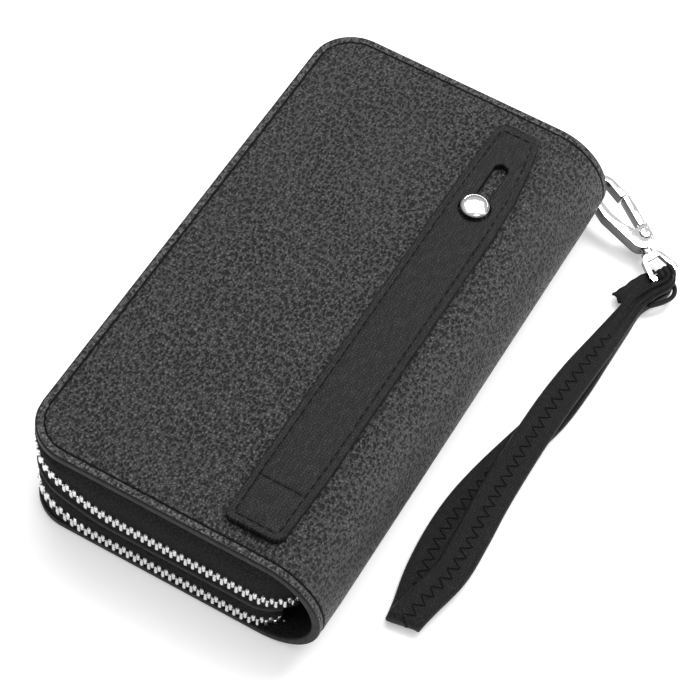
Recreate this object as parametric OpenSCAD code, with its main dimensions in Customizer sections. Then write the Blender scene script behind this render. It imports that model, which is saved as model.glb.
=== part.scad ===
// Zip-around wristlet wallet with two zipped sections, a hand strap and a clip-on wrist loop.
// Millimetres. It lies on its back cover: origin at the middle of the back cover's outer face,
// +Y along the spine, +X from the zip side towards the spine, +Z up through the front cover.

/* [Wallet body] */
// Length along the spine
wallet_len = 200; // [195:1:210]
// Width from the zip side to the outside of the spine
wallet_w = 109; // [107:1:113]
// Closed thickness, which is also the diameter of the spine's curve
wallet_t = 42; // [41:0.5:44]
// Radius of the two corners on the zip side
corner_r = 15.5; // [12:0.5:18]
// Thickness of each padded leather cover
cover_t = 3; // [2.5:0.1:3.2]
// Thickness of the divider between the two sections
divider_t = 2.8; // [2.4:0.1:3]

/* [Zips] */
// Height of the upper zip's centre line
zip1_z = 21; // [20.5:0.1:21.5]
// Height of the lower zip's centre line
zip2_z = 6.2; // [6.2:0.1:6.6]
// Height of the divider's middle
divider_z = 14.8; // [14.6:0.1:15]
// Distance from a cover's edge in to the middle of the zip chains
zip_inset = 0.8; // [0.6:0.1:1]
// Radius of the curve that takes each zip end into the spine
tail_r = 14; // [12:0.5:15]
// Thickness of the metal teeth
teeth_t = 2.4; // [2.2:0.1:2.6]
// Place of both sliders along the far side
slider_x = 20; // [10:1:22]
// Length of each zip pull
pull_len = 20; // [16:1:21]

/* [Hand strap] */
// Inner edge of the strap, nearest the zip side
strap_x0 = 14.5; // [13:0.5:16]
// Outer edge of the strap, nearest the spine
strap_x1 = 35.8; // [34:0.1:36]
// Thickness of the strap
strap_t = 2.7; // [2.4:0.1:2.8]
// Near end of the strap
strap_y0 = -92; // [-94:1:-90]
// Far end of the strap
strap_y1 = 89.5; // [88:0.5:92]
// Cross stitch where the sewn end stops
strap_sewn_y = -74; // [-76:1:-72]
// Where the flat tab with the keyhole starts
strap_tab_y = 44; // [42:1:44]
// Place of the stud along the strap
stud_y = 51.5; // [51:0.5:53]
// Centre of the keyhole's round far end
slot_end_y = 70.5; // [69:0.5:72]

/* [Wrist loop hardware] */
// Wire radius of the D-ring
ring_wire_r = 1.05; // [1:0.05:1.1]
// Distance from the D-ring's straight bar to the middle of its bow
ring_reach = 8; // [7.5:0.1:8.5]
// Heading of the D-ring in plan
ring_heading = 25; // [20:1:30]
// Heading of the clasp in plan
clasp_heading = -25; // [-28:1:-22]
// Downward tilt of the clasp
clasp_tilt = 8; // [6:1:9]
// Thickness of the clasp
clasp_t = 5; // [4.8:0.1:5.2]

/* [Wrist loop] */
// Width of the flat strap of the wrist loop
loop_w = 11.5; // [10:0.5:12]
// Thickness of the flat strap of the wrist loop
loop_t = 2.2; // [2:0.1:2.4]

/* [Hidden] */

half_w = wallet_w / 2;
half_l = wallet_len / 2;
spine_r = wallet_t / 2;
spine_x = half_w - spine_r;
spine_inner_r = spine_r - cover_t;
spine_end_gap = 0.1;
// The leather of the spine folds along two lines on its outside
fold1_z = 16;
fold2_z = spine_r;
fold_gap = 0.02;
chain_gap = 0.8;
chain_half = 2.4;
tape_t = 0.8;
lining_t = 0.8;
pocket_step = 1;
path_steps = 10;
strap_gap = 0.3;
strap_z0 = wallet_t + strap_gap;
strap_z1 = strap_z0 + strap_t;
strap_mid_y = (strap_sewn_y + strap_tab_y) / 2;
strap_cx = (strap_x0 + strap_x1) / 2;
stud_post_r = 2;
stud_head_r = 5;
keyhole_r = 5.4;
slot_w = 5;
slider_len = 10;
ring_bar = [41.5, 105.3, 10.8];
ring_half_h = 4.9;
ring_bow = ring_bar + ring_reach * [cos(ring_heading), sin(ring_heading), 0];
gate_pivot = [24, 2];
gate_pin_r = 1.1;
eye_bar_x = 39.5;
eye_bar_t = 2.2;
eye_half_w = 4.7;
eye_y = -1;
black = [0.09, 0.09, 0.09];
dark_lining = [0.05, 0.05, 0.055];
chrome = [0.83, 0.84, 0.86];
brass_tone = [0.7, 0.7, 0.72];

// Points on an arc
function arc(cx, cy, r, from, to) = [for (i = [0 : path_steps])
    let (a = from + (to - from) * i / path_steps) [cx + r * cos(a), cy + r * sin(a)]];
function reversed(list) = [for (i = [len(list) - 1 : -1 : 0]) list[i]];

// Plan line of a zip, moved outwards by d: near tail, near side, zip side, far side, far tail
function zip_line(d, tail_x, tail_angle) = let (y = half_l - zip_inset, cr = corner_r - zip_inset,
    cx = -half_w + corner_r, cy = half_l - corner_r)
    concat(
        arc(tail_x, -y + tail_r, tail_r + d, -90 + tail_angle, -90),
        arc(cx, -cy, cr + d, -90, -180),
        arc(cx, cy, cr + d, 180, 90),
        arc(tail_x, y - tail_r, tail_r + d, 90, 90 - tail_angle));

// Upright wall along a zip line, between two offsets and two heights
module zip_wall(d0, d1, z0, z1, tail_x, tail_angle)
    translate([0, 0, z0]) linear_extrude(z1 - z0)
        polygon(concat(zip_line(d0, tail_x, tail_angle), reversed(zip_line(d1, tail_x, tail_angle))));

// Plan outline with two rounded corners on the zip side, set in from the cover's edge
module cover_outline(inset, right) {
    r = corner_r - inset;
    cx = -half_w + corner_r;
    cy = half_l - corner_r;
    polygon(concat([[right, -half_l + inset]], arc(cx, -cy, r, -90, -180),
        arc(cx, cy, r, 180, 90), [[right, half_l - inset]]));
}

// Stretch of the curved spine leather between two heights
module spine_shell(outer_r, inner_r, z0, z1, half)
    intersection() {
        translate([spine_x, half, spine_r]) rotate([90, 0, 0]) difference() {
            cylinder(h = 2 * half, r = outer_r, $fn = 96);
            translate([0, 0, -1]) cylinder(h = 2 * half + 2, r = inner_r, $fn = 96);
        }
        translate([spine_x, -half - 1, z0]) cube([outer_r + 1, 2 * half + 2, z1 - z0]);
    }

// Rectangular panel laid flat, given by its limits
module panel(x0, x1, y0, y1, z0, z1)
    translate([x0, y0, z0]) cube([x1 - x0, y1 - y0, z1 - z0]);

// Stepped stack of card pockets that face the zip side: each layer lies on the one before it
module card_stack(count, y0, y1, z, dir) {
    for (i = [0 : count - 1]) {
        low = dir > 0 ? z + i * pocket_step : z - (i + 1) * pocket_step;
        panel(-40 + 9 * i, 24, y0, y1, low, low + pocket_step);
    }
}

// ---- Back section, which is the base ----
module back_cover() color(black) {
    linear_extrude(cover_t) cover_outline(0, spine_x);
    spine_shell(spine_r, spine_inner_r, 0, fold1_z - fold_gap, half_l);
}

module back_lining() color(dark_lining)
    translate([0, 0, cover_t]) linear_extrude(lining_t) cover_outline(6, spine_x);

module back_card_pockets() color(dark_lining) {
    card_stack(4, -88, -2, cover_t + lining_t, 1);
    card_stack(4, 2, 88, cover_t + lining_t, 1);
}

module back_bill_pocket() color(dark_lining)
    panel(26, 32, -88, 88, cover_t + lining_t, cover_t + lining_t + 1.6);

module zip2_lower_tape() color(black)
    difference() {
        zip_wall(-tape_t / 2, tape_t / 2, cover_t, zip2_z - chain_half, 28, 50);
        spine_shell(spine_r, spine_inner_r, 0, fold1_z, half_l);
    }

module zip2_lower_teeth() color(chrome)
    difference() {
        zip_wall(-teeth_t / 2, teeth_t / 2, zip2_z - chain_half, zip2_z - chain_gap, 28, 50);
        spine_shell(spine_r, spine_inner_r, 0, fold1_z, half_l);
    }

// Metal stops clamped on the last tooth at both ends of a zip
module end_stops(tail_x, tail_angle, z0, z1)
    for (side = [-1, 1])
        translate([tail_x + tail_r * sin(tail_angle),
            side * (half_l - zip_inset - tail_r + tail_r * cos(tail_angle)), z0])
            rotate([0, 0, -side * tail_angle]) translate([0.1, -teeth_t / 2, 0])
                cube([1.2, teeth_t, z1 - z0]);

module zip2_end_stops() color(chrome)
    end_stops(28, 50, zip2_z - chain_half + 0.8, zip2_z - chain_gap);

// Leather wedge that packs the tab out from the curve of the spine
module tab_filler() color(black)
    intersection() {
        panel(42.75, 52, 84, 99, 7.2, 14.4);
        translate([spine_x, 100, spine_r]) rotate([90, 0, 0])
            cylinder(h = 20, r = spine_inner_r - 0.05, $fn = 96);
    }

// Doubled leather tab, folded round the straight bar of the D-ring
module ring_tab() color(black)
    translate([ring_bar.x, ring_bar.y, ring_bar.z - 3.8]) difference() {
        union() {
            translate([-1.2, -20.8, 0]) cube([2.4, 20.8, 7.6]);
            cylinder(h = 7.6, r = 2.3, $fn = 48);
        }
        translate([0, 0, -1]) cylinder(h = 10, r = ring_wire_r + 0.1, $fn = 48);
    }

// ---- Divider section ----
module divider_outline(inset) cover_outline(inset, 36);

module divider_panel() color(dark_lining) {
    translate([0, 0, divider_z - divider_t / 2 + 0.2])
        linear_extrude(divider_t - 0.4) divider_outline(4);
    panel(35.9, 49.4, -80, 80, divider_z - divider_t / 2 + 0.2, divider_z + divider_t / 2 - 0.2);
}

// Bound leather edge all round the divider, seen between the two zips
module divider_edge() color(black)
    translate([0, 0, divider_z - divider_t / 2]) linear_extrude(divider_t)
        difference() {
            cover_outline(0.3, 30);
            cover_outline(4, 30.1);
        }

// Stretch of spine leather between its two fold lines
module spine_strip() color(black) {
    spine_shell(spine_r, spine_inner_r, fold1_z + fold_gap, fold2_z - fold_gap, half_l);
    panel(49.3, 51.6, -80, 80, divider_z + divider_t / 2 - 0.15, fold2_z - 1);
}

module divider_card_pockets() color(dark_lining) {
    card_stack(3, -86, -2, divider_z + divider_t / 2 - 0.2, 1);
    card_stack(3, 2, 86, divider_z + divider_t / 2 - 0.2, 1);
}

module divider_phone_pocket() color(dark_lining)
    panel(-42, 26, -84, 84, divider_z - divider_t / 2 - 1.2, divider_z - divider_t / 2 + 0.2);

module zip1_lower_tape() color(black)
    zip_wall(-tape_t / 2, tape_t / 2, divider_z + divider_t / 2, zip1_z - chain_half, 31, 60);

module zip1_lower_teeth() color(chrome)
    zip_wall(-teeth_t / 2, teeth_t / 2, zip1_z - chain_half, zip1_z - chain_gap, 31, 60);

module zip1_end_stops() color(chrome)
    end_stops(31, 60, zip1_z - chain_half, zip1_z - chain_gap);

module zip2_upper_tape() color(black)
    zip_wall(-tape_t / 2, tape_t / 2, zip2_z + chain_half, divider_z - divider_t / 2, 28, 50);

module zip2_upper_teeth() color(chrome)
    zip_wall(-teeth_t / 2, teeth_t / 2, zip2_z + chain_gap, zip2_z + chain_half, 28, 50);

// ---- Front section ----
module front_cover() color(black)
    difference() {
        union() {
            translate([0, 0, wallet_t - cover_t]) linear_extrude(cover_t) cover_outline(0, spine_x);
            spine_shell(spine_r, spine_inner_r, fold2_z + fold_gap, wallet_t, half_l);
        }
        translate([strap_cx, stud_y, wallet_t - cover_t - 1])
            cylinder(h = cover_t + 2, r = stud_post_r, $fn = 48);
    }

module front_lining() color(dark_lining)
    translate([0, 0, wallet_t - cover_t - lining_t]) linear_extrude(lining_t)
        difference() {
            cover_outline(6, spine_x);
            translate([strap_cx, stud_y]) circle(r = 6.3, $fn = 48);
        }

module front_card_pockets() color(dark_lining)
    card_stack(4, -88, -2, wallet_t - cover_t - lining_t, -1);

module front_note_pocket() color(dark_lining)
    panel(-40, 12, 2, 88, wallet_t - cover_t - lining_t - 1.6, wallet_t - cover_t - lining_t);

module zip1_upper_tape() color(black)
    difference() {
        zip_wall(-tape_t / 2, tape_t / 2, zip1_z + chain_half, wallet_t - cover_t, 31, 60);
        spine_shell(spine_r, spine_inner_r, fold2_z, wallet_t, half_l);
    }

module zip1_upper_teeth() color(chrome)
    zip_wall(-teeth_t / 2, teeth_t / 2, zip1_z + chain_gap, zip1_z + chain_half, 31, 60);

module strap_sewn_end() color(black)
    panel(strap_x0, strap_x1 - 0.6, strap_y0, strap_sewn_y - 0.1, wallet_t, strap_z1);

module stud_post() color(chrome)
    translate([strap_cx, stud_y, wallet_t - cover_t - lining_t])
        cylinder(h = cover_t + lining_t + strap_gap + strap_t + 0.4, r = stud_post_r, $fn = 48);

// Flat-topped button head with a rounded rim
module stud_head() color(chrome)
    translate([strap_cx, stud_y, strap_z1 + 0.4]) rotate_extrude($fn = 64)
        polygon(concat([[0, 0], [stud_head_r - 0.4, 0], [stud_head_r, 0.4]],
            arc(stud_head_r - 1.3, 0.7, 1.3, 0, 90), [[0, 2.1]]));

// Backing washer that the post is riveted over, under the front lining
module stud_washer() color(chrome)
    translate([strap_cx, stud_y, wallet_t - cover_t - lining_t]) difference() {
        cylinder(h = lining_t, r = 6, $fn = 48);
        translate([0, 0, -1]) cylinder(h = 4, r = stud_post_r, $fn = 48);
    }

// ---- Hand strap, which arches up when a hand slides under it ----
module hand_strap_near() color(black)
    panel(strap_x0, strap_x1, strap_sewn_y + 0.05, strap_mid_y - 0.05, strap_z0, strap_z1);

module hand_strap_far() color(black)
    panel(strap_x0, strap_x1, strap_mid_y + 0.05, strap_tab_y - 0.05, strap_z0, strap_z1);

module hand_strap_tab() color(black)
    translate([0, 0, strap_z0]) linear_extrude(strap_t) difference() {
        polygon([[strap_x0, strap_tab_y + 0.05], [strap_x1, strap_tab_y + 0.05], [strap_x1 - 0.6, 62],
            [strap_x1 - 2.4, 76], [strap_x1 - 5, strap_y1 - 0.8], [strap_x1 - 5.8, strap_y1],
            [strap_x0 + 1.4, strap_y1 - 0.6], [strap_x0 + 0.6, strap_y1 - 1.6]]);
        translate([strap_cx, stud_y]) circle(r = keyhole_r, $fn = 48);
        translate([strap_cx, slot_end_y]) circle(r = slot_w / 2, $fn = 48);
        translate([strap_cx - slot_w / 2, stud_y]) square([slot_w, slot_end_y - stud_y]);
    }

// ---- Zip sliders and pulls, on the far side ----
// Two plates either side of the chain, joined by the wedge between the rows of teeth
module slider(z, half_h) {
    y = half_l - zip_inset;
    gap = teeth_t / 2 + 0.3;
    translate([slider_x, y, z]) {
        for (side = [-1, 1])
            translate([-slider_len / 2, side > 0 ? gap : -gap - 1.2, -half_h])
                cube([slider_len, 1.2, 2 * half_h]);
        translate([1.5, -gap - 0.2, -0.5]) cube([2.6, 2 * gap + 0.4, 1]);
        for (side = [-1, 1]) difference() {
            translate([-1.5, gap + 1.1, side > 0 ? 1.9 : -half_h + 0.1])
                cube([3, 2.6, half_h - 2]);
        }
        translate([0, gap + 2.4, -half_h + 0.3]) cylinder(h = 2 * half_h - 0.6, r = 0.6, $fn = 32);
    }
}

// Metal pull: an eye round the slider's pin and a flat blade with a hole
module pull(z) {
    y = half_l - zip_inset + teeth_t / 2 + 0.3 + 2.4;
    translate([slider_x, y, z]) difference() {
        union() {
            translate([0, 0, -1.6]) cylinder(h = 3.2, r = 1.15, $fn = 32);
            translate([-5.5, -0.5, -1.6]) cube([4.5, 1, 3.2]);
            translate([-pull_len + 1, -0.4, -2.4]) cube([pull_len - 6, 0.8, 4.8]);
        }
        translate([0, 0, -3]) cylinder(h = 6, r = 0.7, $fn = 32);
    }
}

// Leather grip sewn round the blade of the pull, as two layers with the blade between them
module pull_grip(z) {
    y = half_l - zip_inset + teeth_t / 2 + 0.3 + 2.4;
    translate([slider_x, y, z]) for (side = [-1, 1])
        translate([-pull_len, side > 0 ? 0.42 : -1.22, -2.6]) cube([pull_len - 7, 0.8, 5.2]);
}

module zip1_slider() color(chrome) slider(zip1_z, 3.6);
module zip1_pull() color(chrome) pull(zip1_z);
module zip1_pull_grip() color(black) pull_grip(zip1_z);
module zip2_slider() color(chrome) slider(zip2_z, 2.8);
module zip2_pull() color(chrome) pull(zip2_z);
module zip2_pull_grip() color(black) pull_grip(zip2_z);

// ---- Wrist loop hardware ----
// D-ring: straight bar through the tab, two arms and a straight-backed bow
module d_ring() color(chrome)
    translate(ring_bar) rotate([0, 0, ring_heading]) {
        h = ring_half_h;
        translate([0, 0, -h]) cylinder(h = 2 * h, r = ring_wire_r, $fn = 32);
        for (side = [-1, 1]) translate([0, 0, side * h]) {
            rotate([0, 90, 0]) cylinder(h = ring_reach - 2.5, r = ring_wire_r, $fn = 32);
            sphere(r = ring_wire_r, $fn = 32);
            translate([ring_reach - 2.5, 0, side * -2.5]) rotate([90, 0, 0])
                rotate([0, 0, side > 0 ? 0 : -90]) rotate_extrude(angle = 90, $fn = 48)
                    translate([2.5, 0]) circle(r = ring_wire_r, $fn = 32);
        }
        translate([ring_reach, 0, -h + 2.5]) cylinder(h = 2 * h - 5, r = ring_wire_r, $fn = 32);
    }

// Clasp frame: x along the clasp from the D-ring's bow to the swivel, y across, z through
module on_clasp() translate(ring_bow) rotate([0, 0, clasp_heading]) rotate([0, clasp_tilt, 0]) children();

// Outline round three circles on the clasp's axis, joined by their common tangents
function egg(x, r) = let (a = acos((r[0] - r[1]) / (x[1] - x[0])), b = acos((r[1] - r[2]) / (x[2] - x[1])))
    concat(arc(x[1], 0, r[1], a, b), arc(x[2], 0, r[2], b, -b), arc(x[1], 0, r[1], -b, -a),
        arc(x[0], 0, r[0], -a, a - 360));

module clasp_body() color(chrome) on_clasp() difference() {
    translate([0, 0, -clasp_t / 2]) linear_extrude(clasp_t) polygon(egg([1.8, 11, 24.6], [5.5, 6.6, 4.3]));
    translate([0, 0, -clasp_t]) linear_extrude(2 * clasp_t) polygon(egg([1.8, 11, 17], [3.4, 3.7, 2.4]));
    translate([8, 2.2, -clasp_t]) cube([12.9, 8, 2 * clasp_t]);
    translate([11, -0.5, -clasp_t]) cube([9.9, 6, 2 * clasp_t]);
    translate([18, -0.6, -1.8]) cube([12, 8, 3.6]);
    translate([gate_pivot.x, gate_pivot.y, -3]) cylinder(h = 6, r = gate_pin_r, $fn = 32);
    translate([26.4, eye_y, 0]) rotate([0, 90, 0]) cylinder(h = 4, r = 1.6, $fn = 32);
}

module gate_pin() color(chrome) on_clasp() translate([gate_pivot.x, gate_pivot.y, 0]) {
    translate([0, 0, -clasp_t / 2 - 0.3]) cylinder(h = clasp_t + 0.6, r = gate_pin_r, $fn = 32);
    translate([0, 0, clasp_t / 2]) cylinder(h = 0.6, r1 = 2.2, r2 = 1.8, $fn = 48);
    translate([0, 0, -clasp_t / 2 - 0.6]) cylinder(h = 0.6, r1 = 1.8, r2 = 2.2, $fn = 48);
}

// Coil of the spring that shuts the gate, round its pin
module gate_spring() color(chrome) on_clasp() translate([gate_pivot.x, gate_pivot.y, 1.2])
    difference() {
        cylinder(h = 0.5, r = 1.8, $fn = 32);
        translate([0, 0, -1]) cylinder(h = 3, r = gate_pin_r + 0.02, $fn = 32);
    }

module clasp_gate() color(chrome) on_clasp() difference() {
    union() {
        translate([gate_pivot.x, gate_pivot.y, -1.5]) cylinder(h = 2.4, r = 2, $fn = 48);
        translate([0, 0, -1.5]) linear_extrude(2.4)
            polygon([[19.5, 2.4], [24, 0.6], [24, 4], [19.5, 4.9]]);
        translate([0, 0, -clasp_t / 2 + 0.3]) linear_extrude(clasp_t - 0.6)
            polygon([[8.5, 4.3], [20.4, 2.4], [20.4, 4.7], [14, 6.0], [8.8, 6.5]]);
    }
    translate([gate_pivot.x, gate_pivot.y, -3]) cylinder(h = 6, r = gate_pin_r + 0.08, $fn = 32);
}

// Swivel: a neck that turns in the clasp, a collar and a flat stirrup with a straight end bar
module swivel_eye() color(chrome) on_clasp() translate([0, eye_y, 0]) {
    w = eye_half_w;
    translate([26.6, 0, 0]) rotate([0, 90, 0]) cylinder(h = 4.2, r = 1.52, $fn = 32);
    translate([29.6, 0, 0]) rotate([0, 90, 0]) cylinder(h = 1, r = 2.4, $fn = 48);
    translate([0, 0, -eye_bar_t / 2]) linear_extrude(eye_bar_t) difference() {
        polygon([[30.4, -1.8], [31.2, -3.2], [32.4, -4.2], [38.4, -w - 1.1], [40.2, -w - 1],
            [eye_bar_x + 1.1, -w], [eye_bar_x + 1.1, w], [40.2, w + 1], [38.4, w + 1.1],
            [32.4, 4.2], [31.2, 3.2], [30.4, 1.8]]);
        polygon([[32.9, -2.8], [eye_bar_x - 1.1, -w + 0.8], [eye_bar_x - 1.1, w - 0.8], [32.9, 2.8]]);
    }
}

// ---- Wrist loop ----
// Leather rolled round the end bar of the swivel eye
module strap_roll() color(black)
    on_clasp() translate([eye_bar_x, eye_y - 3.3, 0]) rotate([-90, 0, 0]) difference() {
        cylinder(h = 6.6, r = 3.1, $fn = 48);
        translate([0, 0, -1]) cylinder(h = 10, r = 1.7, $fn = 48);
    }

// Middle line of the flat strap: out along the floor, over at the hand end, back on top.
// Each row is x, y, z and the strap's width there.
loop_route = [
    [86.4, 88.8, 3.9, 4.4], [86.7, 86.1, 2.8, 4.4], [83.9, 80.9, 2.1, 5], [80.8, 74, 1.8, 6],
    [80.2, 64, 1.6, 6.8], [79.3, 50, 1.5, 8.2], [78.2, 35, 1.5, 10], [76.4, 20, 1.5, 11.2],
    [73, 5, 1.5, 11.5], [69.6, -10, 1.5, 11.5], [67.2, -25, 1.5, 11.5], [66.7, -40, 1.5, 11.5],
    [67.9, -55, 1.5, 11.5], [70.3, -67.5, 1.5, 11.5], [71.2, -73.2, 2, 11.5],
    [71.5, -74.6, 3.2, 11.5], [71.9, -73.2, 4.5, 11.5], [73.4, -66, 4.9, 11.5],
    [76.2, -52, 4.8, 11.5], [76, -37, 4.7, 11.5], [75.1, -22, 4.6, 11.5], [74.9, -7, 4.9, 11.5],
    [75.1, 8, 5.4, 11.5], [75.7, 23, 5.7, 11.5], [76.9, 38, 5.7, 11], [78.6, 53, 5.75, 9.4],
    [79.9, 66, 5.8, 7.6], [81, 74.5, 6, 6.4], [84, 81.2, 6.8, 5.1], [87.1, 86.2, 7.6, 4.3],
    [86.3, 89.6, 7.05, 4.3]];

module wrist_strap() color(black) {
    count = len(loop_route);
    points = [for (i = [0 : count - 1])
        let (row = loop_route[i],
            before = loop_route[max(i - 1, 0)], after = loop_route[min(i + 1, count - 1)],
            way = [after.x - before.x, after.y - before.y, after.z - before.z],
            ahead = way / norm(way),
            flat = [0.98, 0.2, 0] - ([0.98, 0.2, 0] * ahead) * ahead,
            across = flat / norm(flat),
            up = cross(ahead, across),
            w = row[3] / 2, t = loop_t / 2)
        for (p = [[-w, -t * 0.5], [-w * 0.9, -t], [w * 0.9, -t], [w, -t * 0.5],
                  [w, t * 0.5], [w * 0.9, t], [-w * 0.9, t], [-w, t * 0.5]])
            [row.x, row.y, row.z] + across * p.x + [0, 0, 0] + up * p.y];
    sides = [for (i = [0 : count - 2]) for (k = [0 : 7])
        [i * 8 + k, (i + 1) * 8 + k, (i + 1) * 8 + (k + 1) % 8, i * 8 + (k + 1) % 8]];
    polyhedron(points, concat([[0, 1, 2, 3, 4, 5, 6, 7]], sides,
        [[for (k = [7 : -1 : 0]) (count - 1) * 8 + k]]));
}

back_cover();
back_lining();
back_card_pockets();
back_bill_pocket();
zip2_lower_tape();
zip2_lower_teeth();
zip2_end_stops();
tab_filler();
ring_tab();
divider_panel();
divider_edge();
spine_strip();
divider_card_pockets();
divider_phone_pocket();
zip1_lower_tape();
zip1_lower_teeth();
zip1_end_stops();
zip2_upper_tape();
zip2_upper_teeth();
front_cover();
front_lining();
front_card_pockets();
front_note_pocket();
zip1_upper_tape();
zip1_upper_teeth();
strap_sewn_end();
stud_post();
stud_head();
stud_washer();
hand_strap_near();
hand_strap_far();
hand_strap_tab();
zip1_slider();
zip1_pull();
zip1_pull_grip();
zip2_slider();
zip2_pull();
zip2_pull_grip();
d_ring();
clasp_body();
gate_pin();
gate_spring();
clasp_gate();
swivel_eye();
strap_roll();
wrist_strap();
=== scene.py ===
"""Wristlet wallet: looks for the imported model. Shapes are worked out in millimetres and made in metres."""
import math
from contextlib import contextmanager

import bmesh
import bpy
import numpy as np
from mathutils import Matrix, Vector


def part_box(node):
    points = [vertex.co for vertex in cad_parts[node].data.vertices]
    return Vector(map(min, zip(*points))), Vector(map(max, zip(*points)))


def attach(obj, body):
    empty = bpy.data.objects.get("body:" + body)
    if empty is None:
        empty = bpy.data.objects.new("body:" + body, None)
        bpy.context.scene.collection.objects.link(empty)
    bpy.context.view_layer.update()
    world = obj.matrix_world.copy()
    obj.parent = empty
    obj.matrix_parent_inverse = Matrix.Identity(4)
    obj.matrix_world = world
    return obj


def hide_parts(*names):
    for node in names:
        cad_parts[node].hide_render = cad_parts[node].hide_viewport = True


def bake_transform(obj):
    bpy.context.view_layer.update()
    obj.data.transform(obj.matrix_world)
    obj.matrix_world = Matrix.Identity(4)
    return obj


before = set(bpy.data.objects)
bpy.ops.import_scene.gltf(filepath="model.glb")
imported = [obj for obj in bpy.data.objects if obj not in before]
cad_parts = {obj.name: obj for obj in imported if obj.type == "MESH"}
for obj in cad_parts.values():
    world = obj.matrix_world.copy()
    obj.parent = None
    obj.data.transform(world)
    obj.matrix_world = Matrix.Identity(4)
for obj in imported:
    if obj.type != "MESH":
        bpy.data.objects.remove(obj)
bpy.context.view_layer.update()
MM = 0.001


def box_mm(node):
    low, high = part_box(node)
    return np.array(low) / MM, np.array(high) / MM


def add_object(name, data):
    obj = bpy.data.objects.new(name, data)
    bpy.context.scene.collection.objects.link(obj)
    return obj


# ---------------------------------------------------------------- sizes, from the frame
COVER_HIGH = box_mm("front_cover")[1]
HALF_W, HALF_L, TOP = COVER_HIGH
SPINE_R = TOP / 2
SPINE_X = HALF_W - SPINE_R
CORNER_R = 15.5
COVER_T = 3.0
FLAT = HALF_W + SPINE_X
MID_SPINE = FLAT + SPINE_R * math.pi / 2
CHAIN_GAP = 0.8
CHAIN_HALF = 2.6
ZIP1_Z = box_mm("zip1_upper_teeth")[0][2] - CHAIN_GAP
ZIP2_Z = box_mm("zip2_upper_teeth")[0][2] - CHAIN_GAP
DIVIDER_LOW, DIVIDER_HIGH = box_mm("divider_edge")
DIVIDER_Z = (DIVIDER_LOW[2] + DIVIDER_HIGH[2]) / 2
ZIP_INSET = 0.8
TAIL_R = 14.0
STRAP_LOW, STRAP_HIGH = box_mm("hand_strap_near")
STUD_LOW, STUD_HIGH = box_mm("stud_head")
STUD = (STUD_LOW + STUD_HIGH) / 2


# ---------------------------------------------------------------- camera, at the reference view
def make_camera():
    azimuth, elevation, roll = (math.radians(a) for a in (23.49, 55.37, 7.14))
    distance = 0.806
    aim = Vector((0.01118, -0.00396, 0.020))
    away = Vector((math.sin(azimuth) * math.cos(elevation), -math.cos(azimuth) * math.cos(elevation),
                   math.sin(elevation)))
    level = Vector((math.cos(azimuth), math.sin(azimuth), 0))
    climb = level.cross(-away)
    side = level * math.cos(roll) + climb * math.sin(roll)
    up = climb * math.cos(roll) - level * math.sin(roll)
    data = bpy.data.cameras.new("camera")
    data.lens = 126.46
    data.sensor_width = 36
    data.clip_start = 0.05
    camera = add_object("camera", data)
    rotation = Matrix((side, up, away)).transposed()
    camera.matrix_world = Matrix.Translation(aim + away * distance) @ rotation.to_4x4()
    bpy.context.scene.camera = camera


# ---------------------------------------------------------------- materials
class Nodes:
    """Shorthand for building one material's node tree."""

    def __init__(self, name):
        self.material = bpy.data.materials.new(name)
        self.material.use_nodes = True
        self.tree = self.material.node_tree
        self.shader = self.tree.nodes["Principled BSDF"]

    def fill(self, sockets, values):
        """Link or set inputs by their name or number."""
        for key, value in values.items():
            if isinstance(value, bpy.types.NodeSocket):
                self.tree.links.new(value, sockets[key])
            else:
                sockets[key].default_value = value

    def node(self, kind, values, output=0, **settings):
        made = self.tree.nodes.new(f"ShaderNode{kind}")
        for key, value in settings.items():
            setattr(made, key, value)
        self.fill(made.inputs, values)
        return made.outputs[output]

    def math(self, operation, a, b):
        return self.node("Math", {0: a, 1: b}, operation=operation)

    def sine(self, a):
        return self.node("Math", {0: a}, operation="SINE")

    def ramp(self, fac, stops, tone=1.0):
        made = self.tree.nodes.new("ShaderNodeValToRGB")
        while len(made.color_ramp.elements) < len(stops):
            made.color_ramp.elements.new(0.5)
        for element, (place, colour) in zip(made.color_ramp.elements, stops):
            element.position = place
            element.color = (*(c * tone for c in colour), 1)
        self.tree.links.new(fac, made.inputs[0])
        return made.outputs[0]

    def between(self, value, low, high, to_low=0.0, to_high=1.0):
        return self.node("MapRange", {0: value, 1: low, 2: high, 3: to_low, 4: to_high})

    def bump(self, height, strength, distance):
        return self.node("Bump", {"Height": height, "Strength": strength, "Distance": distance})

    def place(self, scale=(1, 1, 1), uv=True):
        coordinate = self.node("TexCoord", {}, "UV" if uv else "Object")
        return self.node("Mapping", {"Vector": coordinate, "Scale": scale})

    def part(self, vector, axis):
        return self.node("SeparateXYZ", {0: vector}, axis)

    def noise(self, vector, scale, detail=3.0, rough=0.5, output="Fac"):
        return self.node("TexNoise", {"Vector": vector, "Scale": scale, "Detail": detail,
                                      "Roughness": rough}, output)

    def warp(self, vector, scale, amount):
        colour = self.noise(vector, scale, 2, output="Color")
        centred = self.node("VectorMath", {0: colour, 1: (0.5, 0.5, 0.5)}, operation="SUBTRACT")
        scaled = self.node("VectorMath", {0: centred, "Scale": amount}, operation="SCALE")
        return self.node("VectorMath", {0: vector, 1: scaled}, operation="ADD")

    def cells(self, vector, scale, feature="DISTANCE_TO_EDGE"):
        return self.node("TexVoronoi", {"Vector": vector, "Scale": scale, "Randomness": 0.85},
                         "Distance", voronoi_dimensions="2D", feature=feature)

    def finish(self, **values):
        self.fill(self.shader.inputs, {key.replace("_", " "): value for key, value in values.items()})
        return self.material


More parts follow.
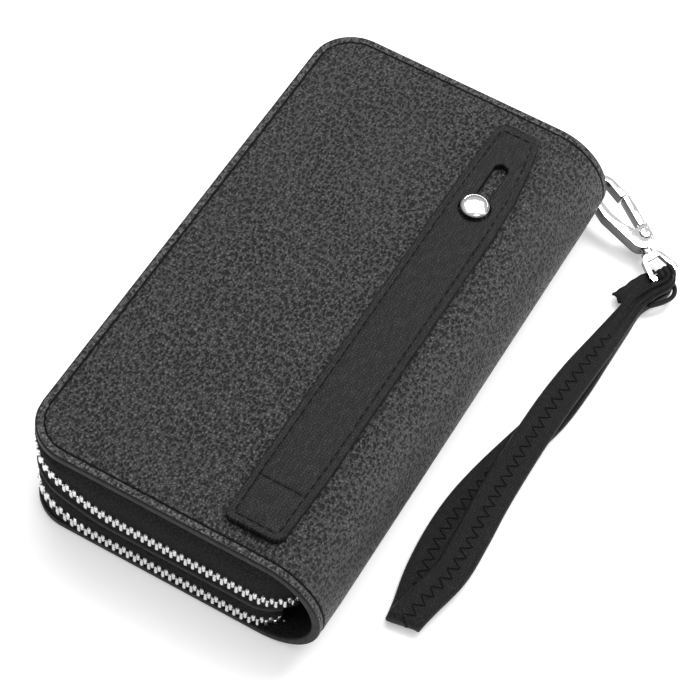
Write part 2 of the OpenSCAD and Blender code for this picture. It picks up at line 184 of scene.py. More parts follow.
# UV maps are in centimetres along and across each piece.
def pebbled_leather(name, tone=1.0, depth=0.0007):
    n = Nodes(name)
    uv = n.place()
    bent = n.warp(n.warp(uv, 2.8, 0.2), 11, 0.07)
    pebble = n.math("POWER", n.between(n.cells(bent, 8.6), 0.0, 0.34), 0.6)
    slots = n.warp(n.warp(n.place((1.2, 0.85, 1)), 2.8, 0.3), 9, 0.12)
    hollow = n.between(n.cells(slots, 6.02, "F1"), 0.1, 0.42, 1.0, 0.0)
    grain = n.noise(uv, 55)
    amount = n.between(n.noise(uv, 0.55, 2), 0.35, 0.65, 0.5, 0.8)
    height = n.math("ADD", n.math("MULTIPLY", pebble, 0.34), n.math("MULTIPLY", grain, 0.3))
    height = n.math("SUBTRACT", n.math("ADD", height, 0.46), n.math("MULTIPLY", hollow, amount))
    # Base colour follows the height: painted shade darkens the pits and a painted highlight lightens the
    # pebble tops.
    colour = n.ramp(height, [(0.2, (0.001, 0.001, 0.001)), (0.6, (0.014, 0.0137, 0.0135)),
                             (0.8, (0.036, 0.0351, 0.0347)), (1.0, (0.09, 0.088, 0.087))], tone)
    return n.finish(Base_Color=colour, Roughness=n.between(height, 0.2, 1.0, 0.72, 0.38),
                    Specular_IOR_Level=0.5, Normal=n.bump(height, 1.0, depth))


def smooth_leather(name, tone, rough, depth=0.00012, gloss=0.4):
    n = Nodes(name)
    uv = n.place()
    fine = n.between(n.cells(n.warp(uv, 14, 0.07), 10), 0.0, 0.22)
    grain = n.noise(uv, 45, 4)
    crease = n.noise(n.warp(n.place((5, 1.6, 5)), 1.5, 0.5), 1.6, 4, 0.6)
    height = n.math("ADD", n.math("MULTIPLY", fine, 0.25), n.math("MULTIPLY", grain, 0.45))
    height = n.math("ADD", height, n.math("MULTIPLY", crease, 0.45))
    colour = n.ramp(height, [(0.5, (0.0006, 0.0006, 0.0006)), (0.68, (0.012, 0.0118, 0.0117)),
                             (0.88, (0.05, 0.0492, 0.0489))], tone)
    return n.finish(Base_Color=colour, Roughness=n.between(height, 0.3, 0.9, rough + 0.12, rough - 0.06),
                    Specular_IOR_Level=gloss, Normal=n.bump(height, 0.8, depth))


def thread_material():
    n = Nodes("black thread")
    twist = n.node("TexWave", {"Vector": n.place(uv=False), "Scale": 2200}, "Fac",
                   wave_type="BANDS", bands_direction="DIAGONAL")
    colour = n.ramp(twist, [(0.2, (0.001, 0.001, 0.001)), (0.8, (0.005, 0.005, 0.005))])
    return n.finish(Base_Color=colour, Roughness=0.8, Specular_IOR_Level=0.15,
                    Normal=n.bump(twist, 0.4, 0.00005))


def twill(name, tone=1.0):
    n = Nodes(name)
    uv = n.place()
    whole_turn = 6.2832
    rows = n.math("MULTIPLY", n.part(uv, "Y"), 16)
    across = n.math("ADD", n.math("MULTIPLY", n.part(uv, "X"), 22), n.math("MULTIPLY", rows, 0.5))
    weave = n.math("MULTIPLY", n.sine(n.math("MULTIPLY", across, whole_turn)),
                   n.sine(n.math("MULTIPLY", rows, whole_turn)))
    fuzz = n.noise(uv, 11, 4, 0.6)
    height = n.math("ADD", n.math("MULTIPLY", weave, 0.3), n.math("MULTIPLY", fuzz, 1.3))
    colour = n.ramp(n.between(height, -0.2, 1.3), [(0.42, (0.0004, 0.0004, 0.0004)),
                                                   (0.8, (0.032, 0.031, 0.031))], tone)
    return n.finish(Base_Color=colour, Roughness=0.9, Specular_IOR_Level=0.12,
                    Normal=n.bump(height, 0.8, 0.00025))


def polished_metal(name, colour, rough, painted_side_shade=1.0):
    """Bright metal; its base colour is painted darker on the faces that look sideways: painted shade for the
    dark surroundings they reflect.
    """
    n = Nodes(name)
    place = n.place(uv=False)
    wear = n.noise(place, 900)
    smear = n.noise(place, 120, 2)
    # Painted shade: the base colour darkens as the world normal turns from up to sideways.
    facing = n.part(n.node("NewGeometry", {}, "Normal"), "Z")
    shade = n.between(facing, 0.25, 0.92, painted_side_shade, 1.0)
    shade = n.math("MULTIPLY", shade, n.between(smear, 0.3, 0.7, 0.94, 1.0))
    return n.finish(Base_Color=n.ramp(shade, [(0.0, (0, 0, 0)), (1.0, colour)]), Metallic=1.0,
                    Roughness=n.between(wear, 0.3, 0.8, rough * 0.6, rough * 1.7),
                    Normal=n.bump(smear, 0.05, 0.00008))


def floor_material():
    n = Nodes("pale floor")
    shade = n.noise(n.place(uv=False), 4, 2)
    colour = n.ramp(shade, [(0.3, (0.90, 0.90, 0.90)), (0.7, (0.92, 0.92, 0.92))])
    return n.finish(Base_Color=colour, Roughness=0.9, Specular_IOR_Level=0.1,
                    Emission_Color=(1, 1, 1, 1), Emission_Strength=0.3)


MATERIAL = {
    "leather": pebbled_leather("pebbled black leather", 0.95),
    "band": pebbled_leather("pressed leather band", 1.2, 0.0004),
    "groove": smooth_leather("stitch groove", 0.2, 0.7, gloss=0.15),
    # The turned edge leather is toned down as painted shade for the covers' side faces in shadow; the
    # divider's binding and the tab filler use it too.
    "edge": smooth_leather("turned leather edge", 0.35, 0.55, gloss=0.3),
    "strap": smooth_leather("smooth strap leather", 0.85, 0.5, 0.0004, 0.26),
    "pocket": smooth_leather("pocket leather", 0.9, 0.5),
    "thread": thread_material(),
    "tape": twill("black zip tape"),
    "lining": twill("black twill lining", 1.2),
    "loop": smooth_leather("wrist loop leather", 0.4, 0.46, 0.0007, 0.3),
    "zip": polished_metal("zip metal", (0.88, 0.88, 0.88), 0.2),
    # Chrome's sideways faces get painted shade, down to 0.14 of its colour.
    "chrome": polished_metal("polished chrome", (0.9, 0.905, 0.915), 0.08, 0.14),
    "floor": floor_material(),
}


# ---------------------------------------------------------------- mesh helpers
def shade(mesh, sharp=None):
    """Smooth shading, with edges over an angle in degrees kept sharp."""
    mesh.polygons.foreach_set("use_smooth", [True] * len(mesh.polygons))
    if sharp is not None:
        mesh.set_sharp_from_angle(angle=math.radians(sharp))


def make_piece(name, verts, faces, materials, body=None, uv=None, slots=None, sharp=None, node=None,
               slot=None):
    """A mesh piece from points in millimetres. uv is one pair per vertex, slots one index per face."""
    mesh = bpy.data.meshes.new(name)
    mesh.from_pydata([tuple(np.asarray(v) * MM) for v in verts], [],
                     [tuple(int(i) for i in f) for f in faces])
    for key in materials if isinstance(materials, list) else [materials]:
        mesh.materials.append(MATERIAL[key])
    if slots is not None:
        mesh.polygons.foreach_set("material_index", np.asarray(slots, int))
    if uv is not None:
        layer = mesh.uv_layers.new(name="uv")
        index = np.zeros(len(mesh.loops), int)
        mesh.loops.foreach_get("vertex_index", index)
        layer.data.foreach_set("uv", (np.asarray(uv, float)[index] * 0.1).ravel())
    mesh.update()
    shade(mesh, sharp)
    obj = add_object(name, mesh)
    if body:
        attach(obj, body)
    if node:
        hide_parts(node)
    return obj


@contextmanager
def editing(mesh):
    bm = bmesh.new()
    bm.from_mesh(mesh)
    yield bm
    bm.to_mesh(mesh)
    bm.free()


def face_outward(mesh):
    with editing(mesh) as bm:
        bmesh.ops.recalc_face_normals(bm, faces=bm.faces)


def bevelled(obj, width, segments=3):
    """Round the sharp edges of a piece; the width is in millimetres."""
    modifier = obj.modifiers.new("bevel", "BEVEL")
    modifier.width = width * MM
    modifier.segments = segments
    modifier.limit_method = "ANGLE"
    modifier.angle_limit = math.radians(35)
    modifier.harden_normals = False
    graph = bpy.context.evaluated_depsgraph_get()
    mesh = bpy.data.meshes.new_from_object(obj.evaluated_get(graph))
    old = obj.data
    obj.modifiers.clear()
    obj.data = mesh
    bpy.data.meshes.remove(old)
    shade(mesh, 40)


def unit(v):
    v = np.asarray(v, float)
    return v / max(np.linalg.norm(v), 1e-9)


def smoothstep(x, low, high):
    t = np.clip((np.asarray(x, float) - low) / (high - low), 0, 1)
    return t * t * (3 - 2 * t)


def lengths(points):
    """Length from the first point to each point of a line."""
    return np.concatenate([[0], np.cumsum(np.linalg.norm(np.diff(points, axis=0), axis=1))])


def at(s, along, table):
    """Row of a table at a length along its line."""
    return np.array([np.interp(s, along, column) for column in np.asarray(table).T])


def grid_faces(rows, columns, start=0, closed=False, flip=False):
    faces = []
    for i in range(rows - 1):
        for j in range(columns if closed else columns - 1):
            k = (j + 1) % columns
            quad = (start + i * columns + j, start + i * columns + k,
                    start + (i + 1) * columns + k, start + (i + 1) * columns + j)
            faces.append(quad[::-1] if flip else quad)
    return faces


def swept_faces(rows, columns, start=0, flip=False, flip_ends=False):
    """Faces of a closed section swept along rows, with a cap at each end."""
    first = tuple(range(start, start + columns))
    last = tuple(start + (rows - 1) * columns + k for k in range(columns))
    caps = [first, last[::-1]] if flip_ends else [first[::-1], last]
    return grid_faces(rows, columns, start, True, flip) + caps


def bridge(a, b, flip=False):
    """Faces between two equal lines of vertex numbers."""
    quads = [(a[i], a[i + 1], b[i + 1], b[i]) for i in range(len(a) - 1)]
    return [quad[::-1] for quad in quads] if flip else quads


def circle(sides):
    return [(math.cos(2 * math.pi * k / sides), math.sin(2 * math.pi * k / sides)) for k in range(sides)]


def tube(points, radius, sides=10, closed=False):
    """Round tube through points, as vertices and faces."""
    points = np.asarray(points, float)
    count = len(points)
    verts = []
    side = None
    for i in range(count):
        if closed:
            way = points[(i + 1) % count] - points[i - 1]
        else:
            way = points[min(i + 1, count - 1)] - points[max(i - 1, 0)]
        way = unit(way)
        if side is None:
            side = unit(np.cross(way, (0, 0, 1) if abs(way[2]) < 0.9 else (1, 0, 0)))
        side = unit(side - way * np.dot(side, way))
        up = np.cross(way, side)
        verts += [points[i] + radius * (side * c + up * s) for c, s in circle(sides)]
    if not closed:
        return verts, swept_faces(count, sides)
    last = (count - 1) * sides
    return verts, grid_faces(count, sides, closed=True) + [
        (last + k, last + (k + 1) % sides, (k + 1) % sides, k) for k in range(sides)]


def joined(parts):
    """One vertex and face list from several."""
    verts, faces = [], []
    for v, f in parts:
        base = len(verts)
        verts.extend(v)
        faces.extend([tuple(i + base for i in face) for face in f])
    return verts, faces


def stitch_marks(points, normals, length=3.0, gap=0.9, radius=0.3):
    """Sewing stitches along a line of points: each is a flattened, pointed bead sunk in its groove."""
    points = np.asarray(points, float)
    normals = np.broadcast_to(normals, points.shape)
    along = lengths(points)
    count = max(1, int(along[-1] // (length + gap)))
    pitch = along[-1] / count
    verts, faces = [], []
    profile = [(0.0, 0.25), (0.1, 0.75), (0.3, 1.0), (0.7, 1.0), (0.9, 0.75), (1.0, 0.25)]
    sides, sunk = 6, 0.02
    for i in range(count):
        start = len(verts)
        for t, r in profile:
            s = i * pitch + gap / 2 + t * (pitch - gap)
            p, q, n = at(s, along, points), at(s + 0.1, along, points), unit(at(s, along, normals))
            way = unit(q - p) if np.linalg.norm(q - p) > 1e-6 else unit(points[-1] - points[-2])
            side = unit(np.cross(way, n))
            dip = radius * 0.9 * (1 - math.sin(math.pi * min(max(t, 0.02), 0.98)) ** 0.5)
            verts += [p + side * radius * r * c + n * (radius * r * 0.8 * v - sunk - dip)
                      for c, v in circle(sides)]
        faces += swept_faces(len(profile), sides, start)
    return verts, faces


def sew(name, lines, body=None):
    """One thread piece from lines of (points, normal, stitch length, gap, radius)."""
    verts, faces = joined([stitch_marks(*line) for line in lines])
    return make_piece(name, verts, faces, "thread", body)


# ---------------------------------------------------------------- cover leather
EDGE_R = 0.6
STITCH_IN = 3.0
OUTER, INNER, RIM, BAND, GROOVE = range(5)


def edge_distance(s, y):
    """Distance in from the three free edges of a cover, on the unrolled leather."""
    across = np.asarray(s, float)
    along = HALF_L - np.abs(y)
    corner = CORNER_R - np.hypot(CORNER_R - across, CORNER_R - along)
    return np.where((across < CORNER_R) & (along < CORNER_R), corner, np.minimum(across, along))


def leather_swell(s, y, top):
    """Height of the outer face over the plain cover: edge band, stitched groove, soft padding."""
    d = edge_distance(s, y)
    flat = 1 - smoothstep(s, FLAT - 14, FLAT + 6)
    swell = 0.5 if top else 0.0
    height = -0.12 * (1 - smoothstep(d, 2.8, 3.8)) - 0.3 * np.exp(-((d - STITCH_IN) / 0.36) ** 2)
    height = height + smoothstep(d, 3.2, 17) * (0.2 + (swell - 0.2) * flat)
    waves = (np.sin(s * 0.13 + 1.1 * np.sin(y * 0.045)) * np.cos(y * 0.061 + 0.5)
             + 0.6 * np.sin(s * 0.071 - y * 0.083))
    return height + (0.11 * waves * smoothstep(d, 4, 18) if top else 0)


def cover_point(s, y, top, inward=0.0, swell=True):
    """Point and outward normal on a cover's leather; s runs from the zip side round to mid-spine."""
    angle = max(0.0, (s - FLAT) / SPINE_R)
    r = SPINE_R - inward + (leather_swell(s, y, top) if swell else 0.0)
    x = -HALF_W + s if s <= FLAT else SPINE_X + r * math.sin(angle)
    z = SPINE_R + (r if s <= FLAT else r * math.cos(angle))
    up = 1 if top else -1
    return np.array([x, y, z if top else TOP - z]), np.array([math.sin(angle), 0.0, up * math.cos(angle)])


def spread(*stretches):
    """Values from stretches of (start, end, steps), without doubled ends."""
    values = [stretches[0][0]]
    for start, end, steps in stretches:
        values += list(np.linspace(start, end, steps + 1)[1:])
    return np.array(values)


def side_half(s):
    """Half length of the cover at a distance in from the zip side, less the rounded rim."""
    if s >= CORNER_R:
        return HALF_L - EDGE_R
    return HALF_L - CORNER_R + math.sqrt(max((CORNER_R - EDGE_R) ** 2 - (CORNER_R - s) ** 2, 0))


def way_out(s, y):
    """Direction on the unrolled leather from a point of its border to the nearest free edge."""
    if s < CORNER_R and abs(y) > HALF_L - CORNER_R:
        return unit((s - CORNER_R, y - np.sign(y) * (HALF_L - CORNER_R)))
    return np.array([-1.0, 0.0]) if s <= EDGE_R + 1e-6 else np.array([0.0, np.sign(y)])


def cover_leather(name, top):
    """Outer leather of one cover with its rim and inner face, from the zip side to mid-spine."""
    fine = spread((EDGE_R, 5, 12), (5, CORNER_R, 9), (CORNER_R, FLAT, 56), (FLAT, MID_SPINE - 0.2, 34),
                  (MID_SPINE - 0.2, MID_SPINE, 1))
    edge = 1 - spread((0, 4.4, 14), (4.4, 12, 8), (12, HALF_L, 64)) / HALF_L
    t_values = np.concatenate([-edge, edge[::-1][1:]])
    rows, columns = len(fine), len(t_values)
    places = [(s, t * side_half(s)) for s in fine for t in t_values]
    verts = [cover_point(s, y, top, inward, inward == 0)[0] for inward in (0.0, COVER_T) for s, y in places]
    uvs = [(s if top else 2 * MID_SPINE - s, y) for s, y in places] * 2
    outer = grid_faces(rows, columns, flip=top)
    faces = outer + grid_faces(rows, columns, rows * columns, flip=not top)
    # The flat band outside the stitching is pressed smoother
    slots = []
    for face in outer:
        inside = edge_distance(*places[face[0]]) - STITCH_IN
        slots.append(GROOVE if abs(inside) < 0.3 else BAND if inside < 0 else OUTER)
    slots += [INNER] * len(outer)
    # Rim: from the outer face round to the inner face along the three free edges
    ring = [i * columns for i in range(rows - 1, -1, -1)] + list(range(1, columns))
    ring += [i * columns + columns - 1 for i in range(1, rows)]
    quarter = [(EDGE_R * math.sin(a), EDGE_R * (1 - math.cos(a))) for a in np.linspace(0, math.pi / 2, 5)[1:]]
    previous = ring
    for out, depth in quarter + [(o, COVER_T - d) for o, d in quarter[::-1]]:
        current = list(range(len(verts), len(verts) + len(ring)))
        for s, y in (places[i] for i in ring):
            way = way_out(s, y)
            s2, y2 = s + way[0] * out, y + way[1] * out
            outer_p, _ = cover_point(max(s2, 0), y2, top)
            inner_p, _ = cover_point(max(s2, 0), y2, top, COVER_T, False)
            verts.append(outer_p + (inner_p - outer_p) * depth / COVER_T)
            uvs.append((s2 - depth if top else 2 * MID_SPINE - s2 + depth, y2))
        faces += bridge(previous, current, not top)
        previous = current
    faces += bridge(previous, [i + rows * columns for i in ring], not top)
    # The rim takes the dark edge leather: painted shade on the cover's side faces.
    slots += [RIM] * (len(faces) - len(slots))
    return make_piece(name, verts, faces, ["leather", "lining", "edge", "band", "groove"],
                      uv=uvs, slots=slots)


def edge_line(inset, top, lift):
    """Points and normals along a cover's three free edges, at a distance in from them."""
    step, quarter = 0.8, math.pi / 2
    r, turn = CORNER_R - inset, HALF_L - CORNER_R
    plan = [(s, -HALF_L + inset) for s in np.arange(MID_SPINE, CORNER_R, -step)]
    plan += [(CORNER_R + r * math.cos(a), -turn + r * math.sin(a))
             for a in np.linspace(-quarter, -math.pi, 28)]
    plan += [(inset, y) for y in np.arange(-turn, turn, step)]
    plan += [(CORNER_R + r * math.cos(a), turn + r * math.sin(a)) for a in np.linspace(math.pi, quarter, 28)]
    plan += [(s, HALF_L - inset) for s in np.arange(CORNER_R, MID_SPINE, step)]
    line = [cover_point(s, y, top) for s, y in plan]
    return np.array([p + n * lift for p, n in line]), np.array([n for _, n in line])


def make_covers():
    """Leather and edge stitching of each cover, from the zip side round to mid-spine."""
    for top, name in ((True, "front"), (False, "back")):
        leather = cover_leather(f"{name}_leather", top)
        seam = sew(f"{name}_edge_stitching", [(*edge_line(STITCH_IN, top, 0.14), 2.4, 0.7, 0.27)])
        for piece in (leather, seam):
            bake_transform(piece)
        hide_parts(*(("front_cover",) if top else ("back_cover", "spine_strip")))


# ---------------------------------------------------------------- zips and divider
def zip_path(tail_x, tail_angle, inset=ZIP_INSET, tail_r=TAIL_R):
    """Plan points of a zip from its near tail round to its far tail, with outward normals."""
    step = 0.65
    y, r = HALF_L - inset, CORNER_R - inset
    cx, cy = -HALF_W + CORNER_R, HALF_L - CORNER_R

    def arc(x0, y0, radius, start, end):
        count = max(4, int(radius * abs(math.radians(end - start)) / step))
        angles = np.radians(np.linspace(start, end, count))
        way = np.stack([np.cos(angles), np.sin(angles)], 1)
        return np.array([x0, y0]) + radius * way, way

    def line(a, b, way):
        count = max(2, int(math.dist(a, b) / step))
        return np.linspace(a, b, count + 1)[1:-1], np.tile(way, (count - 1, 1))
    runs = [arc(tail_x, -y + tail_r, tail_r, -90 + tail_angle, -90), line((tail_x, -y), (cx, -y), (0, -1)),
            arc(cx, -cy, r, -90, -180), line((cx - r, -cy), (cx - r, cy), (-1, 0)), arc(cx, cy, r, 180, 90),
            line((cx, y), (tail_x, y), (0, 1)), arc(tail_x, y - tail_r, tail_r, 90, 90 - tail_angle)]
    return np.concatenate([r[0] for r in runs]), np.concatenate([r[1] for r in runs])


def zip_rise(x, y, z):
    """Both zips and the divider's edge climb towards the top at the near corner of the zip side."""
    fade = 1 - float(smoothstep(y, -80, 85))

    def climb(start, run, reach, power=1.0):
        return fade * reach * float(smoothstep((start - x) / run, 0, 1)) ** power
    top, low, mid = climb(-14, 38, 10.8, 1.6), climb(-30, 20, 8.0), climb(-18, 34, 7.6, 1.3)
    knots = [COVER_T, COVER_T + 0.6, ZIP2_Z + CHAIN_HALF, DIVIDER_Z - 1.8, DIVIDER_Z + 1.8,
             ZIP1_Z - CHAIN_HALF, ZIP1_Z + CHAIN_HALF, TOP - COVER_T]
    return z + float(np.interp(z, knots, [0, low, low, mid, mid, top, top, 0]))


def inside_spine(x, y, z):
    """Lift a point with its zip, or keep it inside the curve of the spine."""
    if x <= SPINE_X:
        return zip_rise(x, y, z)
    room = math.sqrt(max((SPINE_R - COVER_T) ** 2 - (x - SPINE_X) ** 2, 0)) - 0.05
    return min(max(z, SPINE_R - room), SPINE_R + room)


def ribbon(name, path, body, profile, ripple=0.0):
    """Zip tape swept along a plan path; its section is a list of (outward, height)."""
    points, normals = path
    thickness = 0.7
    run = lengths(np.array(profile, float))
    section = [(d, z, r) for (d, z), r in zip(profile, run)]
    section += [(d - thickness, z, run[-1] + thickness + run[-1] - r)
                for (d, z), r in zip(profile[::-1], run[::-1])]
    verts, uvs = [], []
    for p, n, s in zip(points, normals, lengths(points)):
        for d, z, r in section:
            wave = (ripple * math.sin(s * 0.31 + 1.7 * math.sin(s * 0.07))
                    * math.sin(math.pi * min(r / run[-1], 1)))
            x, y = p + n * (d + wave)
            verts.append((x, y, inside_spine(x, y, z)))
            uvs.append((s, r))
    faces = swept_faces(len(points), len(section), 0, profile[0][1] < profile[-1][1], True)
    which, part = name.split("_tape_")
    make_piece(name, verts, faces, "tape", body, uvs, sharp=60, node=f"{which}_{part}_tape", slot="zip_tape")


TOOTH_PITCH = 2.6
# Half outline of a tooth: (half width along the zip, height over the zip's centre line)
TOOTH = [(0.36, -0.6), (0.58, -0.3), (0.5, 0.3), (0.64, 0.8), (0.7, 2.1), (0.42, 2.8)]
# Sections through a tooth: (distance out, share of its full size)
TOOTH_DEPTH = [(-1.2, 0.5), (-0.95, 0.9), (-0.6, 1.0), (0.6, 1.0), (0.95, 0.9), (1.2, 0.5)]


def teeth(which, row, path, z, body):
    """One row of metal teeth clamped on the edge of a tape."""
    points, normals = path
    up = 1 if row == "upper" else -1
    along = lengths(points)
    shift = 0 if up > 0 else TOOTH_PITCH / 2
    outline = TOOTH + [(-w, h) for w, h in TOOTH[::-1]]
    verts, faces = [], []
    for i in range(int((along[-1] - 2) / TOOTH_PITCH)):
        s = 1 + shift + i * TOOTH_PITCH
        p, n = at(s, along, points), unit(at(s, along, normals))
        way = np.array([-n[1], n[0]])
        faces += swept_faces(len(TOOTH_DEPTH), len(outline), len(verts), up < 0, up < 0)
        for d, size in TOOTH_DEPTH:
            for w, h in outline:
                x, y = p + n * d + way * w * size
                mid = 0.9 + (h - 0.9) * (0.6 + 0.4 * size)
                verts.append((x, y, inside_spine(x, y, z + up * mid)))
    make_piece(f"{which}_teeth_{row}", verts, faces, "zip", body, sharp=35, node=f"{which}_{row}_teeth",
               slot="zip_metal")


def make_zips():
    upper, lower = zip_path(31, 60), zip_path(28, 50)
    lid = TOP - COVER_T
    low, high = 2 * DIVIDER_Z - DIVIDER_HIGH[2], DIVIDER_HIGH[2]
    ribbon("zip1_tape_upper", upper, "front",
           [(-0.6, lid + 0.2), (0.1, lid - 2), (0.75, lid - 5.5), (0.9, lid - 8.5), (0.6, lid - 12),
            (0.4, ZIP1_Z + CHAIN_HALF), (0.35, ZIP1_Z + 0.9)], 0.16)
    ribbon("zip1_tape_lower", upper, "divider",
           [(0.35, ZIP1_Z - 0.9), (0.4, ZIP1_Z - CHAIN_HALF), (0.2, high)])
    ribbon("zip2_tape_upper", lower, "divider",
           [(0.2, low), (0.6, low - 1.6), (0.5, ZIP2_Z + CHAIN_HALF), (0.35, ZIP2_Z + 0.9)], 0.1)
    ribbon("zip2_tape_lower", lower, "back", [(0.35, ZIP2_Z - 0.9), (0.3, ZIP2_Z - 2.3), (0, COVER_T)])
    teeth("zip1", "upper", upper, ZIP1_Z, "front")
    teeth("zip1", "lower", upper, ZIP1_Z, "divider")
    teeth("zip2", "upper", lower, ZIP2_Z, "divider")
    teeth("zip2", "lower", lower, ZIP2_Z, "back")
    binding(zip_path(30, 45, 0.3, 13.5),
            [(-3.9, low + 0.1), (-1.2, low), (-0.4, low + 0.12), (0.1, low + 0.5), (0.32, DIVIDER_Z),
             (0.1, high - 0.5), (-0.4, high - 0.12), (-1.2, high), (-3.9, high - 0.1)])


def binding(path, section):
    """Leather strip bound round the edge of the divider."""
    points, normals = path
    verts, uvs = [], []
    for p, n, s in zip(points, normals, lengths(points)):
        for k, (d, z) in enumerate(section):
            x, y = p + n * d
            verts.append((x, y, zip_rise(x, y, z)))
            uvs.append((s, k * 1.1))
    make_piece("divider_bound_edge", verts, swept_faces(len(points), len(section)), "edge", "divider", uvs,
               sharp=60, node="divider_edge", slot="leather")


# ---------------------------------------------------------------- pieces softened from their frame solids
def box_uv(obj):
    """UVs from each face's own plane, in centimetres."""
    mesh = obj.data
    layer = mesh.uv_layers[0] if mesh.uv_layers else mesh.uv_layers.new(name="uv")
    for polygon in mesh.polygons:
        axis = max(range(3), key=lambda k: abs(polygon.normal[k]))
        a, b = (k for k in range(3) if k != axis)
        for loop in polygon.loop_indices:
            co = mesh.vertices[mesh.loops[loop].vertex_index].co
            layer.data[loop].uv = (co[a] * 100, co[b] * 100)


def follow_rise(obj):
    """Bend a flat piece of the divider up to its edge at the zip side."""
    cuts = [((x * MM, 0, 0), (1, 0, 0)) for x in range(-51, -17, 3)]
    cuts += [((0, y * MM, 0), (0, 1, 0)) for y in range(-75, 90, 15)]
    with editing(obj.data) as bm:
        for place, way in cuts:
            bmesh.ops.bisect_plane(bm, geom=[*bm.verts, *bm.edges, *bm.faces], dist=1e-6,
                                   plane_co=place, plane_no=way)
        for vert in bm.verts:
            vert.co.z += (zip_rise(vert.co.x / MM, vert.co.y / MM, DIVIDER_Z) - DIVIDER_Z) * MM
    shade(obj.data, 40)


def softened(node, body, material, width=0.3, segments=3):
    """A new piece from a frame solid, with its sharp edges rounded over."""
    mesh = bpy.data.meshes.new(node)
    bm = bmesh.new()
    bm.from_mesh(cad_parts[node].data)
    bmesh.ops.remove_doubles(bm, verts=bm.verts, dist=2e-6)
    bmesh.ops.dissolve_limit(bm, angle_limit=math.radians(0.6), verts=bm.verts, edges=bm.edges)
    bm.to_mesh(mesh)
    bm.free()
    mesh.materials.clear()
    mesh.materials.append(MATERIAL[material])
    obj = add_object(f"{node}_piece", mesh)
    bevelled(obj, width, segments)
    if body == "divider" and material != "zip":
        follow_rise(obj)
    box_uv(obj)
    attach(obj, body)
    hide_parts(node)
    return obj


# ---------------------------------------------------------------- hand strap
STRAP_X0, STRAP_X1 = STRAP_LOW[0], STRAP_HIGH[0]
STRAP_CX = (STRAP_X0 + STRAP_X1) / 2
STRAP_Z0, STRAP_Z1 = STRAP_LOW[2], STRAP_HIGH[2]
STRAP_Y0 = box_mm("strap_sewn_end")[0][1]
STRAP_Y1 = box_mm("hand_strap_tab")[1][1]
SEWN_Y = -74
SLOT_END = 70.5
SLOT_R = 2.5
HOLE_R = 5.4
SEAM_IN = 2.4
# Edges of the strap: (distance in from its widest line, place along it)
RIGHT_EDGE = [(4.6, STRAP_Y0), (3.0, STRAP_Y0 + 0.45), (1.8, STRAP_Y0 + 1.4), (0.9, STRAP_Y0 + 3.0),
              (0.5, -75), (0, -60), (0, 46), (0.6, 62), (2.4, 76), (4.6, STRAP_Y1 - 2.2),
              (5.6, STRAP_Y1 - 0.6), (7, STRAP_Y1)]
LEFT_EDGE = [(2.4, STRAP_Y0), (1.1, STRAP_Y0 + 0.5), (0.4, STRAP_Y0 + 1.4), (0, -70), (0, 60),
             (0.6, STRAP_Y1 - 3), (1.2, STRAP_Y1 - 1.2), (2.6, STRAP_Y1 - 0.4)]
STRAP_RIGHT = np.array([(STRAP_X1 - x, y) for x, y in RIGHT_EDGE])
STRAP_LEFT = np.array([(STRAP_X0 + x, y) for x, y in LEFT_EDGE])
STRAP_OUTLINE = np.concatenate([STRAP_RIGHT, STRAP_LEFT[::-1]])


def strap_side(y, right):
    """Strap edge at a place along it."""
    side = STRAP_RIGHT if right else STRAP_LEFT
    return float(np.interp(y, side[:, 1], side[:, 0]))


def outline_distance(x, y):
    p = np.array([x, y])
    starts, sides = STRAP_OUTLINE, np.roll(STRAP_OUTLINE, -1, axis=0) - STRAP_OUTLINE
    t = np.clip(((p - starts) * sides).sum(1) / (sides * sides).sum(1), 0, 1)
    return float(np.linalg.norm(p - starts - t[:, None] * sides, axis=1).min())


def hole_half(y):
    """Half width of the keyhole at a place along the strap."""
    half = 0.0
    if abs(y - STUD[1]) < HOLE_R:
        half = math.sqrt(HOLE_R ** 2 - (y - STUD[1]) ** 2)
    if STUD[1] < y <= SLOT_END:
        half = max(half, SLOT_R)
    elif SLOT_END < y < SLOT_END + SLOT_R:
        half = max(half, math.sqrt(SLOT_R ** 2 - (y - SLOT_END) ** 2))
    return half


def hole_distance(x, y):
    dx, t = x - STRAP_CX, min(max(y, STUD[1]), SLOT_END)
    return min(math.hypot(dx, y - STUD[1]) - HOLE_R, math.hypot(dx, y - t) - SLOT_R)


def rounding(d, r):
    """Drop of an edge rounded to a radius, at a distance in from it."""
    return r - math.sqrt(max(r * r - (r - min(d, r)) ** 2, 0))


def strap_top(x, y):
    """Height of the strap's top: rounded edges, a sewn groove and a slight crown."""
    d = outline_distance(x, y)
    drop = max(rounding(d, 0.6), rounding(max(hole_distance(x, y), 0), 0.42))
    groove = 0.26 * math.exp(-((d - SEAM_IN) / 0.3) ** 2)
    crown = 0.18 * (1 - ((x - STRAP_CX) / 10.6) ** 2) * min(d / 4, 1)
    cross = 0.3 * math.exp(-((y - SEWN_Y) / 0.35) ** 2) if d > SEAM_IN - 0.2 else 0
    return STRAP_Z1 - drop - groove + crown - 0.12 - cross


def strap_rows(y0, y1, step):
    """Places along one length of the strap, closer together where its shape changes quickly."""
    ys = list(np.arange(y0, y1, step)) + [y1]
    if y1 > SLOT_END:
        ys += [STUD[1] - HOLE_R + t for t in (0, 0.05, 0.2, 0.45, 0.8)]
        ys += [SLOT_END + SLOT_R - t for t in (0, 0.05, 0.2, 0.45)] + [y1 - t for t in (0.15, 0.4, 0.7)]
    if y0 < SEWN_Y:
        ys += [y0 + t for t in (0.12, 0.3, 0.6, 1.8, 2.1, 2.4, 2.7)]
        ys += [SEWN_Y + t for t in (-0.5, -0.25, 0, 0.25, 0.5)]
    return sorted(set(round(y, 3) for y in ys))


